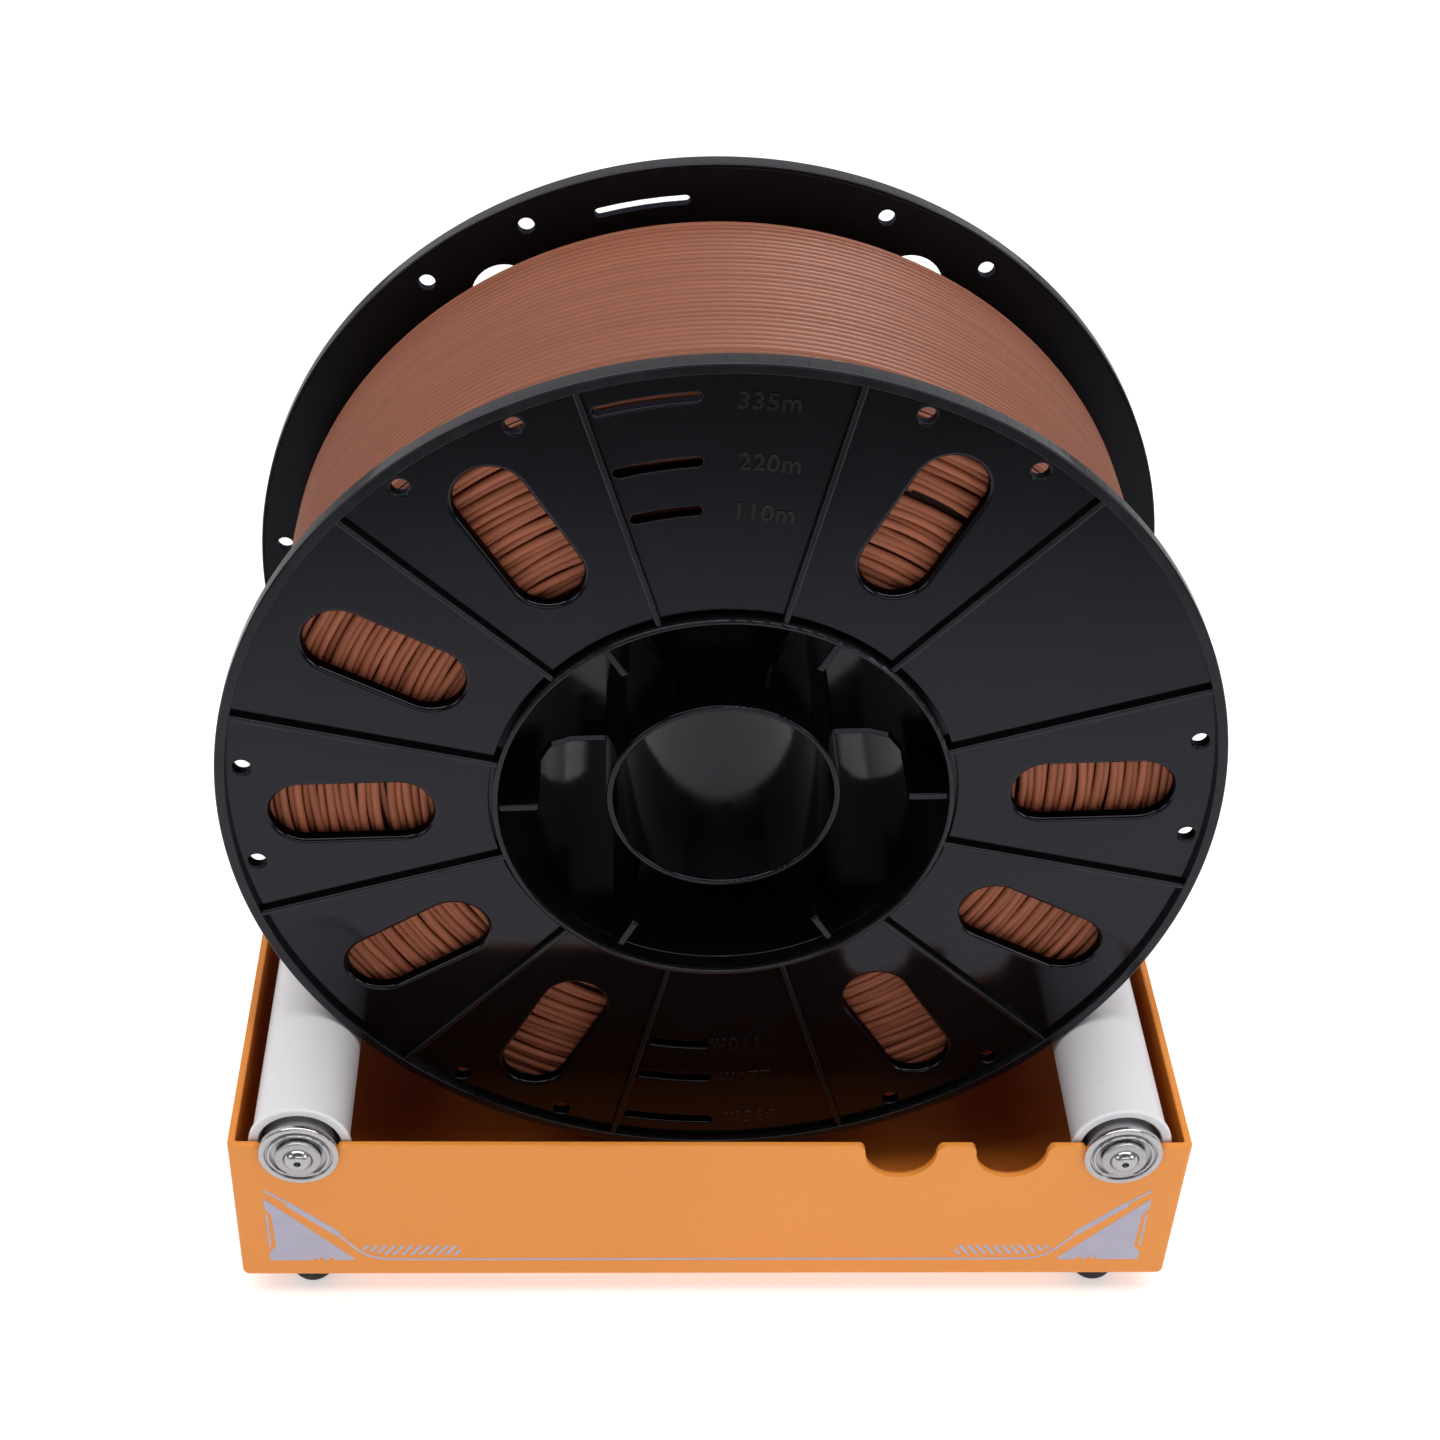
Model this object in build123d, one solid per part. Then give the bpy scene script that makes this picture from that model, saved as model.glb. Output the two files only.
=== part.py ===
from build123d import *
import math
import os

os.makedirs("parts", exist_ok=True)

# Free-standing spool holder: an open sheet-metal tray with two idler rollers,
# carrying one reel of filament that turns on the rollers.
# Frame: origin on the resting plane, under the middle of the tray.
# +X to the right seen from the front, +Y to the rear, +Z up.  Millimetres.

# ------------------------------------------------------------- tray and feet
TRAY_W = 200.6          # outside width, X
TRAY_D = 141.4          # outside depth, Y
TRAY_BOTTOM = 5.5       # underside of the floor above the resting plane
TRAY_TOP = 47.6         # top edge of the four walls
SHEET = 1.5             # sheet thickness
BEND_R = 2.2            # outside bend radius along the floor
CORNER_R = 1.2          # outside radius of the welded upright corners

FOOT_R = 5.0            # rubber dome radius
FOOT_CYL = 1.2          # straight part against the floor
FOOT_FLAT_R = 2.5       # worn flat that stands on the table
FOOT_X = 85.9
FOOT_Y = TRAY_D / 2 - 6.7

# ------------------------------------------------------------------- rollers
ROLLER_X = 85.65        # half the distance between the roller axes
ROLLER_Z = 45.7         # height of the roller axes
ROLLER_R = 10.0         # running radius of the tube
NOTCH_R = 7.55          # bearing seat in the wall
NOTCH_CORNER = 2.0      # rounding where a seat meets the top edge
SPARE_X = (39.0, 62.3)  # further seats for narrower reels

SHAFT_R = 2.99
SHAFT_END = 3.4         # how far the shaft reaches past the tray
DOME_H = 1.9
CENTRE_DRILL_R = 0.75

BRG_BORE_R = 3.0        # flanged ball bearing, 6 x 15 x 5
BRG_OD_R = 7.5
BRG_W = 5.0
BRG_FLANGE_R = 8.3
BRG_FLANGE_W = 1.2
BRG_PITCH_R = 5.3
BALL_R = 1.19
BALL_COUNT = 8
INNER_RING_R = 4.4
OUTER_RING_IN_R = 6.2
WASHER_R = 4.8
WASHER_W = 1.0

CAP_FRONT = 1.9         # end lip of the roller, behind the front face of the tray
LIP_R = 10.6
LIP_W = 1.1
MOUTH_R = 8.8           # open mouth of the cap round the wall bearing
POCKET_R = 8.5
CAP_BEARING = 4.1       # flange face of the bearing inside the roller, behind the front face of the tray
TUBE_IN_R = 9.2
CAP_PLUG = 12.7

# --------------------------------------------------------------------- reel
REEL_R = 100.2
REEL_W = 84.0
ROLL_GAP = 0.2          # running gap between reel rim and roller
RIM_W = 4.0
RIM_IN_R = 98.1
PLATE_RECESS = 1.6      # outer face of the flange plate below the rim
RIB_W = 1.2
RIB_STEP = 0.15         # ribs stay this far below the rim
RIB_EDGE_R = 0.4
EDGE_R = 0.4            # general rounding of moulded edges
RIM_EDGE_R = 0.8
HUB_EDGE_R = 0.45
TUBE_EDGE_R = 0.6
WINDOW_EDGE_R = 0.9
HOLE_EDGE_R = 0.4
SLOT_EDGE_R = 0.3
TRAY_EDGE_R = 0.35
HUB_R = 44.85           # inside of the hub ring
HUB_WALL = 1.1
HUB_PROUD = 0.5         # hub ring in front of the rim
GROOVE_R = 46.8
BARREL_IN_R = 48.4
BARREL_R = 50.0
TUBE_BORE_R = 22.0
TUBE_OD_R = 23.45
TUBE_RECESS = 2.5
WEB_W = 1.6
WEB_HALF = 18.8         # half length of the full spokes in the middle
TAB_IN_R = 36.8
TAB_RECESS = 1.3
REEL_TURN = 2.8         # rest angle of the reel about its axis, degrees
WINDOW_L = 32.7
WINDOW_W = 13.9
WINDOW_R = 74.0
WINDOW_ANGLES = (0, 60, 120, 150, 180, 210, 240, 300, 330)
RIB_ANGLES = tuple(15 + 30 * k for k in range(12))
HOLE_R = 1.75
HOLE_PITCH_R = 95.0
HOLE_OFFSET = 7.35
SLOTS = ((92.7, 92.65, 103.5), (79.5, 93.1, 103.4), (69.2, 93.8, 103.0))  # radius, from and to angle
SLOT_W = 2.1
WOUND_R = 92.6          # outside of the wound filament
WOUND_HALF = 37.2
WOUND_ROUND = 3.0
# the outer turns stop short of the rear flange: (distance back from the winding's rear side, drop below WOUND_R)
WOUND_SHOULDER = ((9.2, 0.0), (6.2, 1.4), (3.8, 3.6), (1.8, 6.4), (0.0, 9.4))

REEL_Z = ROLLER_Z + math.sqrt((REEL_R + ROLLER_R + ROLL_GAP) ** 2 - ROLLER_X ** 2)
FRONT = -TRAY_D / 2


# ------------------------------------------------------------------- helpers
def turned(points, x=0.0, z=0.0, soft=None):
    """Solid of revolution about a line along Y, from (radius, y) points. soft rounds the corners it names."""
    face = make_face(Polyline(*[(r, y) for r, y in points], close=True))
    for corner, radius in (soft or {}).items():
        at = [v for v in face.vertices() if abs(v.X - corner[0]) < 1e-4 and abs(v.Y - corner[1]) < 1e-4]
        face = fillet(at, radius)
    return Pos(x, 0, z) * revolve(face, Axis.Y, 360)


def mirror_y(shape):
    return mirror(shape, about=Plane.XZ)


def bar_xz(face_xz, y0, y1):
    """Extrude a face drawn in (x, z) from y0 to y1."""
    pl = Plane(origin=(0, y0, 0), x_dir=(1, 0, 0), z_dir=(0, -1, 0))
    return extrude(pl * face_xz, amount=-(y1 - y0))


def keep(shape, name):
    solids = list(shape.solids()) if hasattr(shape, "solids") else [shape]
    out = solids[0] if len(solids) == 1 else Compound(solids)
    export_step(out, f"parts/{name}.step")
    print(name, len(solids), round(sum(s.volume for s in solids), 1))


# ---------------------------------------------------------------------- tray
height = TRAY_TOP - TRAY_BOTTOM
tray = Pos(0, 0, TRAY_BOTTOM + height / 2) * Box(TRAY_W, TRAY_D, height)
tray = fillet(tray.faces().sort_by(Axis.Z)[0].edges(), BEND_R)
tray = fillet(tray.edges().filter_by(Axis.Z), CORNER_R)
inside = Pos(0, 0, TRAY_BOTTOM + SHEET + height / 2) * Box(
    TRAY_W - 2 * SHEET, TRAY_D - 2 * SHEET, height)
inside = fillet(inside.edges().filter_by(Axis.Z), 0.6)
inside = fillet(inside.faces().sort_by(Axis.Z)[0].edges(), 0.6)
tray = tray - inside
tray = fillet([e for e in tray.edges() if abs(e.bounding_box().min.Z - TRAY_TOP) < 1e-3], TRAY_EDGE_R)


def seat_face(x):
    top, c, r = TRAY_TOP, NOTCH_CORNER, NOTCH_R
    k = c * math.sqrt(0.5)
    left, right = x - r, x + r
    return make_face([
        Line((left - c, top + 2), (left - c, top)),
        ThreePointArc((left - c, top), (left - c + k, top - c + k), (left, top - c)),
        Line((left, top - c), (left, ROLLER_Z)),
        ThreePointArc((left, ROLLER_Z), (x, ROLLER_Z - r), (right, ROLLER_Z)),
        Line((right, ROLLER_Z), (right, top - c)),
        ThreePointArc((right, top - c), (right + c - k, top - c + k), (right + c, top)),
        Line((right + c, top), (right + c, top + 2)),
        Line((right + c, top + 2), (left - c, top + 2)),
    ])


for x in (-ROLLER_X, ROLLER_X) + SPARE_X:
    tray = tray - bar_xz(seat_face(x), -TRAY_D / 2 - 1, TRAY_D / 2 + 1)
keep(tray, "tray")

# ---------------------------------------------------------------------- feet
cap_h = math.sqrt(FOOT_R ** 2 - FOOT_FLAT_R ** 2)
foot_h = FOOT_CYL + cap_h
foot_scale = TRAY_BOTTOM / foot_h
pts_cyl = FOOT_CYL * foot_scale
dome_h = TRAY_BOTTOM - pts_cyl
prof = [(0.0, 0.0), (FOOT_FLAT_R, 0.0)]
for k in range(1, 9):
    a = math.asin(FOOT_FLAT_R / FOOT_R) + (math.pi / 2 - math.asin(FOOT_FLAT_R / FOOT_R)) * k / 8
    prof.append((FOOT_R * math.sin(a), dome_h * (1 - math.cos(a) * FOOT_R / cap_h)))
prof += [(FOOT_R, TRAY_BOTTOM), (0.0, TRAY_BOTTOM)]
foot_face = Plane.XZ * make_face(Polyline(*prof, close=True))
foot = revolve(foot_face, Axis.Z, 360)
for side, sx in (("left", -1), ("right", 1)):
    for end, sy in (("front", -1), ("rear", 1)):
        keep(Pos(sx * FOOT_X, sy * FOOT_Y, 0) * foot, f"{end}_{side}_foot")


# ------------------------------------------------------------------ bearings
def outer_ring(y0):
    """Flanged outer ring: flange face at y0, body running to +Y."""
    a, w = BRG_FLANGE_R, BRG_W
    groove = 7.0
    pts = [
        (groove, y0), (a - 0.25, y0), (a, y0 + 0.25), (a, y0 + BRG_FLANGE_W),
        (BRG_OD_R, y0 + BRG_FLANGE_W), (BRG_OD_R, y0 + w - 0.3), (BRG_OD_R - 0.3, y0 + w),
        (groove, y0 + w), (groove, y0 + w - 0.9), (OUTER_RING_IN_R, y0 + w - 0.9),
        (OUTER_RING_IN_R, y0 + 0.9), (groove, y0 + 0.9),
    ]
    ring = turned(pts)
    race = turned([(BRG_PITCH_R + (BALL_R + 0.05) * math.cos(t), y0 + w / 2 + (BALL_R + 0.05) * math.sin(t))
                   for t in [2 * math.pi * i / 24 for i in range(24)]])
    return ring - race


def inner_ring(y0):
    w = BRG_W
    pts = [(BRG_BORE_R, y0 + 0.2), (BRG_BORE_R + 0.2, y0), (INNER_RING_R - 0.15, y0), (INNER_RING_R, y0 + 0.15),
           (INNER_RING_R, y0 + w - 0.15), (INNER_RING_R - 0.15, y0 + w), (BRG_BORE_R + 0.2, y0 + w),
           (BRG_BORE_R, y0 + w - 0.2)]
    ring = turned(pts)
    race = turned([(BRG_PITCH_R + (BALL_R + 0.05) * math.cos(t), y0 + w / 2 + (BALL_R + 0.05) * math.sin(t))
                   for t in [2 * math.pi * i / 24 for i in range(24)]])
    return ring - race


def shield(y0, face):
    """Pressed shield with a raised lip; face is -1 for the flange side, +1 for the other."""
    def yy(d):
        return y0 + d if face < 0 else y0 + BRG_W - d
    pts = [(4.6, yy(0.62)), (5.7, yy(0.62)), (5.75, yy(0.18)), (6.45, yy(0.18)), (6.55, yy(0.45)), (6.95, yy(0.45)),
           (6.95, yy(0.85)), (6.2, yy(0.85)), (6.15, yy(0.42)), (6.0, yy(0.42)), (5.95, yy(0.85)), (4.6, yy(0.85))]
    return turned(pts)


def balls(y0):
    out = []
    for i in range(BALL_COUNT):
        a = 2 * math.pi * (i + 0.5) / BALL_COUNT
        out.append(Pos(BRG_PITCH_R * math.cos(a), y0 + BRG_W / 2, BRG_PITCH_R * math.sin(a)) * Sphere(BALL_R))
    return out


def group(shapes):
    out = []
    for s in shapes:
        out += list(s.solids())
    return Compound(out)


SEAT_Y = FRONT - BRG_FLANGE_W          # flange face of the bearings in the walls
CAP_Y = FRONT + CAP_BEARING            # flange face of the bearings in the roller ends

for side, x in (("left", -ROLLER_X), ("right", ROLLER_X)):
    at = Pos(x, 0, ROLLER_Z)
    for end in ("front", "rear"):
        flip = (lambda s: s) if end == "front" else mirror_y
        pre = f"{end}_{side}"
        keep(at * flip(outer_ring(SEAT_Y)), f"{pre}_bearing_outer_ring")
        keep(group([at * flip(shield(SEAT_Y, -1)), at * flip(shield(SEAT_Y, 1))]), f"{pre}_bearing_shields")
        keep(group([at * flip(b) for b in balls(SEAT_Y)]), f"{pre}_bearing_balls")
        keep(at * flip(inner_ring(SEAT_Y)), f"{pre}_bearing_inner_ring")
        keep(at * flip(turned([(SHAFT_R + 0.01, SEAT_Y - WASHER_W), (WASHER_R - 0.3, SEAT_Y - WASHER_W),
                               (WASHER_R, SEAT_Y - WASHER_W + 0.3), (WASHER_R, SEAT_Y - 0.35),
                               (INNER_RING_R - 0.3, SEAT_Y), (SHAFT_R + 0.01, SEAT_Y)])),
             f"{pre}_retaining_washer")
        # flanged bearing pressed into the end of the roller
        keep(at * flip(outer_ring(CAP_Y)), f"{pre}_roller_bearing_outer_ring")
        keep(at * flip(inner_ring(CAP_Y)), f"{pre}_roller_bearing_inner_ring")
        keep(group([at * flip(shield(CAP_Y, -1)), at * flip(shield(CAP_Y, 1))]), f"{pre}_roller_bearing_shields")
        keep(group([at * flip(b) for b in balls(CAP_Y)]), f"{pre}_roller_bearing_balls")
        # end cap: lip, bearing pocket and a plug inside the tube
        lip = FRONT + CAP_FRONT
        cap_pts = [
            (MOUTH_R, lip), (LIP_R, lip), (LIP_R, lip + LIP_W), (TUBE_IN_R, lip + LIP_W),
            (TUBE_IN_R, lip + CAP_PLUG - 0.6), (TUBE_IN_R - 0.6, lip + CAP_PLUG), (4.0, lip + CAP_PLUG),
            (4.0, CAP_Y + BRG_W), (BRG_OD_R, CAP_Y + BRG_W), (BRG_OD_R, CAP_Y + BRG_FLANGE_W),
            (POCKET_R, CAP_Y + BRG_FLANGE_W), (POCKET_R, lip + 0.5),
        ]
        keep(at * flip(turned(cap_pts, soft={(LIP_R, lip): 0.45, (LIP_R, lip + LIP_W): 0.25, (MOUTH_R, lip): 0.2})),
             f"{pre}_roller_end_cap")
    y_tube = FRONT + CAP_FRONT + LIP_W
    keep(turned([(TUBE_IN_R, y_tube), (ROLLER_R, y_tube), (ROLLER_R, -y_tube), (TUBE_IN_R, -y_tube)],
                x, ROLLER_Z), f"{side}_roller_tube")
    # shaft with domed, centre-drilled ends
    e = FRONT - SHAFT_END
    half = [(CENTRE_DRILL_R, e + 2.6), (CENTRE_DRILL_R, e + 0.10), (1.2, e), ]
    for k in range(1, 7):
        a = math.pi / 2 * k / 6
        half.append((1.2 + (SHAFT_R - 1.2) * math.sin(a), e + DOME_H * (1 - math.cos(a))))
    front_pts = [(0.0, e + 3.0)] + half
    rear_pts = [(r, -y) for r, y in reversed(front_pts)]
    keep(turned(front_pts + rear_pts, x, ROLLER_Z), f"{side}_roller_shaft")


# ----------------------------------------------------------------------- reel
def turn_reel(shape):
    """Turn by the rest angle about the reel axis and lift to its height."""
    return Pos(0, 0, REEL_Z) * (Rot(0, -REEL_TURN, 0) * shape)


def polar(r, deg):
    a = math.radians(deg)
    return (r * math.cos(a), r * math.sin(a))


yf = -REEL_W / 2
plate = yf + PLATE_RECESS
flange = turned([
    (HUB_R, yf - HUB_PROUD), (HUB_R + HUB_WALL, yf - HUB_PROUD), (HUB_R + HUB_WALL, yf + 3.1), (GROOVE_R, yf + 3.1), (GROOVE_R, plate),
    (RIM_IN_R, plate), (RIM_IN_R, yf), (REEL_R, yf), (REEL_R, yf + RIM_W), (HUB_R, yf + RIM_W),
], soft={(HUB_R, yf - HUB_PROUD): HUB_EDGE_R, (HUB_R + HUB_WALL, yf - HUB_PROUD): HUB_EDGE_R, (GROOVE_R, plate): 0.2, (RIM_IN_R, yf): 0.25,
         (REEL_R, yf): RIM_EDGE_R, (REEL_R, yf + RIM_W): RIM_EDGE_R})
ribs = []
for a in RIB_ANGLES:
    length = RIM_IN_R + 0.4 - (HUB_R + HUB_WALL - 0.3)
    mid = (RIM_IN_R + 0.4 + HUB_R + HUB_WALL - 0.3) / 2
    depth = PLATE_RECESS - RIB_STEP + 0.4
    rib = Pos(mid, yf + RIB_STEP + depth / 2, 0) * Box(length, depth, RIB_W)
    rib = fillet(rib.edges().filter_by(Axis.X).group_by(Axis.Y)[0], RIB_EDGE_R)
    groove_fill = Pos((GROOVE_R + HUB_R + HUB_WALL) / 2, yf + 2.2, 0) * Box(GROOVE_R - HUB_R - HUB_WALL + 1.0, 2.4, RIB_W)
    ribs.append(Rot(0, -a, 0) * (rib + groove_fill))
for r in ribs:
    flange = flange + r
cutters = []
for a in WINDOW_ANGLES:
    face = Pos(*polar(WINDOW_R, a)) * (Rot(0, 0, a) * SlotOverall(WINDOW_L, WINDOW_W))
    cutters.append(bar_xz(face, yf - 1, yf + RIM_W + 1))
for a in (0, 60, 120, 180, 240, 300):
    for s in (-1, 1):
        face = Pos(*polar(HOLE_PITCH_R, a + s * HOLE_OFFSET)) * Circle(HOLE_R)
        cutters.append(bar_xz(face, yf - 1, yf + RIM_W + 1))
for r, slot_from, slot_to in SLOTS:
    for sign in (1, -1):
        a0, a1 = sign * slot_from, sign * slot_to
        ro, ri = r + SLOT_W / 2, r - SLOT_W / 2
        amid = (a0 + a1) / 2
        c0, c1 = polar(r, a0), polar(r, a1)
        band = make_face([
            ThreePointArc(polar(ro, a0), polar(ro, amid), polar(ro, a1)),
            Line(polar(ro, a1), polar(ri, a1)),
            ThreePointArc(polar(ri, a1), polar(ri, amid), polar(ri, a0)),
            Line(polar(ri, a0), polar(ro, a0)),
        ])
        cutters.append(bar_xz(band, yf - 1, yf + RIM_W + 1))
        for c in (c0, c1):
            cutters.append(bar_xz(Pos(*c) * Circle(SLOT_W / 2), yf - 1, yf + RIM_W + 1))
for c in cutters:
    flange = flange - c


def mouth_edges(solid, centre_r, angle, reach):
    """Edges of an opening at the plate's outer face: those on the plate plane within reach of the opening's middle."""
    cx, cz = polar(centre_r, angle)
    found = []
    for e in solid.edges():
        b = e.bounding_box()
        if abs(b.min.Y - plate) < 1e-3 and abs(b.max.Y - plate) < 1e-3:
            c = e.center()
            if math.hypot(c.X - cx, c.Z - cz) < reach and max(b.size.X, b.size.Z) < 2.2 * reach:
                found.append(e)
    return found


soft_edges = []
for a in WINDOW_ANGLES:
    soft_edges += mouth_edges(flange, WINDOW_R, a, WINDOW_L / 2 + 0.5)
flange = fillet(soft_edges, WINDOW_EDGE_R)
soft_edges = []
for a in (0, 60, 120, 180, 240, 300):
    for s in (-1, 1):
        soft_edges += mouth_edges(flange, HOLE_PITCH_R, a + s * HOLE_OFFSET, HOLE_R + 0.2)
flange = fillet(soft_edges, HOLE_EDGE_R)
soft_edges = []
for r, slot_from, slot_to in SLOTS:
    for sign in (1, -1):
        span = math.radians(slot_to - slot_from) * r / 2 + SLOT_W / 2
        soft_edges += mouth_edges(flange, r, sign * (slot_from + slot_to) / 2, span + 0.3)
flange = fillet(soft_edges, SLOT_EDGE_R)
keep(turn_reel(flange), "reel_front_flange")
keep(turn_reel(mirror_y(flange)), "reel_rear_flange")

y_in = yf + RIM_W
hub_ring = turned([(HUB_R, y_in), (HUB_R + HUB_WALL, y_in), (HUB_R + HUB_WALL, -y_in), (HUB_R, -y_in)])
barrel = turned([(BARREL_IN_R, y_in), (BARREL_R, y_in), (BARREL_R, -y_in), (BARREL_IN_R, -y_in)])
link_len = BARREL_IN_R - HUB_R - HUB_WALL + 0.8
for k in range(12):
    hub_ring = hub_ring + Rot(0, -(15 + 30 * k), 0) * (
        Pos(HUB_R + HUB_WALL + link_len / 2 - 0.4, 0, 0) * Box(link_len, REEL_W - 2 * RIM_W, 1.2))
keep(turn_reel(hub_ring + barrel), "reel_barrel")

tube_end = yf + TUBE_RECESS
hub_tube = turned([
    (TUBE_BORE_R, tube_end), (TUBE_OD_R, tube_end), (TUBE_OD_R, -tube_end), (TUBE_BORE_R, -tube_end)],
    soft={(TUBE_BORE_R, tube_end): TUBE_EDGE_R, (TUBE_OD_R, tube_end): TUBE_EDGE_R,
          (TUBE_OD_R, -tube_end): TUBE_EDGE_R, (TUBE_BORE_R, -tube_end): TUBE_EDGE_R})
keep(turn_reel(hub_tube), "reel_hub_tube")

# spokes: full webs in the middle, only a rib along the hub ring towards each end
t = 6.0
web_profile = [
    (TUBE_OD_R - 0.5, -WEB_HALF), (TAB_IN_R - t, -WEB_HALF), (TAB_IN_R - 0.3 * t, -WEB_HALF - 0.3 * t),
    (TAB_IN_R, -WEB_HALF - t), (TAB_IN_R, yf + TAB_RECESS + 1.0), (TAB_IN_R + 0.3, yf + TAB_RECESS + 0.3),
    (TAB_IN_R + 1.0, yf + TAB_RECESS), (HUB_R + 0.5, yf + TAB_RECESS)]
web_profile += [(r, -y) for r, y in reversed(web_profile)]
web_face = make_face(Polyline(*web_profile, close=True))
web = extrude(web_face, amount=WEB_W / 2, both=True)
web = web & turned([(TUBE_OD_R, yf), (HUB_R, yf), (HUB_R, -yf), (TUBE_OD_R, -yf)])
keep(turn_reel(group([Rot(0, -60 * k, 0) * web for k in range(6)])), "reel_spokes")

h, q = WOUND_HALF, WOUND_ROUND
wound = [(BARREL_R + 0.02, -h), (WOUND_R - q, -h), (WOUND_R - 0.3 * q, -h + 0.3 * q), (WOUND_R, -h + q)]
wound += [(WOUND_R - drop, h - back) for back, drop in WOUND_SHOULDER] + [(BARREL_R + 0.02, h)]
keep(turn_reel(turned(wound)), "wound_filament")
print("reel axis height", round(REEL_Z, 3))
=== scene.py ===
"""Spool holder stand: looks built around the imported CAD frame. Metres, row frame, +Z up."""
import math

import bmesh
import bpy
import numpy as np
from mathutils import Matrix, Vector


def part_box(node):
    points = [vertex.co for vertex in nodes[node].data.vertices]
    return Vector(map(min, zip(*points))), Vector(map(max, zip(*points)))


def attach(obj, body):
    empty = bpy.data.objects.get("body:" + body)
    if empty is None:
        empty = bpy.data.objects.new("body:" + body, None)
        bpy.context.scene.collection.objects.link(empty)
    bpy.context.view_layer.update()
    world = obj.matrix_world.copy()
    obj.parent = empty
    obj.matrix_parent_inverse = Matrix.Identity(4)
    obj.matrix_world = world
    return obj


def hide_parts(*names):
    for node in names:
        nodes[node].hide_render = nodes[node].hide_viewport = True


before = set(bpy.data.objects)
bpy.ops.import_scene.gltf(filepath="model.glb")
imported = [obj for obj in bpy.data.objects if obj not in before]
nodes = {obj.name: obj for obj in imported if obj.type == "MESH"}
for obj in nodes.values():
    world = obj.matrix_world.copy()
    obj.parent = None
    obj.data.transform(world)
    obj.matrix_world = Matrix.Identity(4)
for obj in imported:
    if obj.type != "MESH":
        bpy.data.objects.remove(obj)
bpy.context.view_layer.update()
MM = 0.001
WORLD_DIM, WORLD_BACK = 0.10, 0.70

# ------------------------------------------------------------------ camera
PITCH, YAW, ROLL = 0.66261337, 0.06872559, -0.05339769
f = Vector((math.sin(YAW) * math.cos(PITCH), math.cos(YAW) * math.cos(PITCH), -math.sin(PITCH)))
r = Vector((math.cos(YAW), -math.sin(YAW), 0.0))
d = f.cross(r)
r2 = r * math.cos(ROLL) + d * math.sin(ROLL)
d2 = -r * math.sin(ROLL) + d * math.cos(ROLL)
cam = bpy.data.cameras.new("camera")
cam.sensor_width = 36.0
cam.lens = 58.7115
cam.clip_start, cam.clip_end = 0.01, 20.0
cam_ob = bpy.data.objects.new("camera", cam)
bpy.context.scene.collection.objects.link(cam_ob)
m = Matrix.Identity(4)
for row in range(3):
    m[row][0], m[row][1], m[row][2] = r2[row], -d2[row], -f[row]
m[0][3], m[1][3], m[2][3] = -0.02631, -0.39878, 0.41638
cam_ob.matrix_world = m
bpy.context.scene.camera = cam_ob


# ------------------------------------------------------------------ helpers
def mesh_object(name, verts, faces, smooth=True):
    me = bpy.data.meshes.new(name)
    me.from_pydata([tuple(v) for v in verts], [], [tuple(f_) for f_ in faces])
    me.validate()
    me.update()
    ob = bpy.data.objects.new(name, me)
    bpy.context.scene.collection.objects.link(ob)
    if smooth:
        me.polygons.foreach_set("use_smooth", [True] * len(me.polygons))
    return ob


def tube_arrays(centre, frame_a, frame_b, radius, sides, closed):
    """Arrays of a tube along centre (n,3). frame_a and frame_b span its section; radius is one number or one per point."""
    n = len(centre)
    a = np.linspace(0, 2 * math.pi, sides, endpoint=False)
    rad = np.broadcast_to(np.asarray(radius, float), (n,))
    ring = (centre[:, None, :]
            + (np.cos(a)[None, :, None] * frame_a[:, None, :] + np.sin(a)[None, :, None] * frame_b[:, None, :])
            * rad[:, None, None])
    verts = ring.reshape(-1, 3)
    count = n if closed else n - 1
    i = np.arange(count)
    j = (i + 1) % n
    k = np.arange(sides)
    l = (k + 1) % sides
    quads = np.stack([
        (i[:, None] * sides + k[None, :]), (i[:, None] * sides + l[None, :]),
        (j[:, None] * sides + l[None, :]), (j[:, None] * sides + k[None, :])], -1).reshape(-1, 4)
    faces = [tuple(int(x) for x in q) for q in quads]
    if not closed:
        faces.append(tuple(range(sides - 1, -1, -1)))
        faces.append(tuple((n - 1) * sides + s for s in range(sides)))
    return verts, faces


class Batch:
    """Collects several closed shells into one mesh."""

    def __init__(self):
        self.verts, self.faces, self.values = [], [], []
        self.count = 0

    def add(self, verts, faces, value=0.5):
        self.verts.append(np.asarray(verts, float))
        self.faces += [tuple(i + self.count for i in f_) for f_ in faces]
        self.values += [value] * len(verts)
        self.count += len(verts)

    def make(self, name, smooth=True):
        ob = mesh_object(name, np.concatenate(self.verts), self.faces, smooth)
        at = ob.data.attributes.new("strand", "FLOAT", "POINT")
        at.data.foreach_set("value", np.asarray(self.values, np.float32))
        return ob


def turned_arrays(profile, segments=180, centre=(0.0, 0.0)):
    """A closed profile of (radius, y) points turned about the line along Y through centre (x, z)."""
    p = np.asarray(profile, float)
    a = np.linspace(0, 2 * math.pi, segments, endpoint=False)
    x = centre[0] + p[None, :, 0] * np.cos(a)[:, None]
    z = centre[1] + p[None, :, 0] * np.sin(a)[:, None]
    y = np.broadcast_to(p[None, :, 1], x.shape)
    verts = np.stack([x, y, z], -1).reshape(-1, 3)
    n = len(p)
    faces = []
    for s in range(segments):
        t = (s + 1) % segments
        for k in range(n):
            l = (k + 1) % n
            faces.append((s * n + k, t * n + k, t * n + l, s * n + l))
    return verts, faces


def recalc(ob):
    bm = bmesh.new()
    bm.from_mesh(ob.data)
    bmesh.ops.recalc_face_normals(bm, faces=bm.faces)
    bm.to_mesh(ob.data)
    bm.free()


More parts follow.
